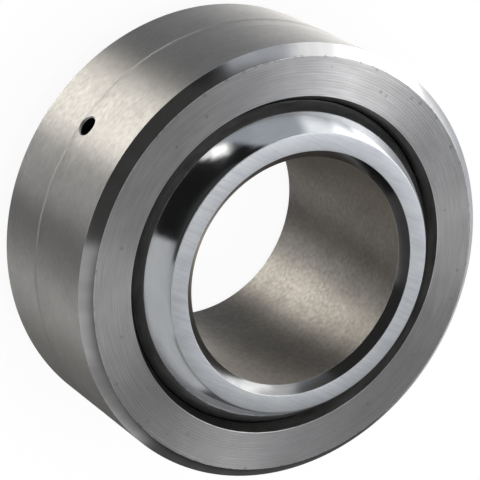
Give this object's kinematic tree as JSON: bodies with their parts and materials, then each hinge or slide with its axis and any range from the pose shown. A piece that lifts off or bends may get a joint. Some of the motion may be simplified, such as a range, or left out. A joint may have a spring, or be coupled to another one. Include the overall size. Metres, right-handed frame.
{
  "type": "spherical plain bearing",
  "caption": "Metal-on-metal spherical plain bearing: a bored steel ball swaged into a chamfered outer race with a grease groove and hole.",
  "frame": {"origin": "centre of the sphere, half way through the ball and the race", "axes": "+Z along the bore axis; -Y through the grease hole in the race"},
  "size_m": [0.0366, 0.0365, 0.019],
  "materials": {
    "race_steel": "ground outside, fine turned faces, bright chamfers and dark tapered mouths",
    "ball_steel": "polished sphere, brushed end faces and a satin bore"
  },
  "bodies": {
    "race": {"outer_race": "race_steel"},
    "ball": {"ball": "ball_steel"}
  },
  "joints": [
    {"name": "ball_tilt", "type": "hinge", "parent": "race", "child": "ball", "pos_m": [0, 0, 0], "axis": [1, 0, 0], "range_deg": [-9, 9]}
  ]
}
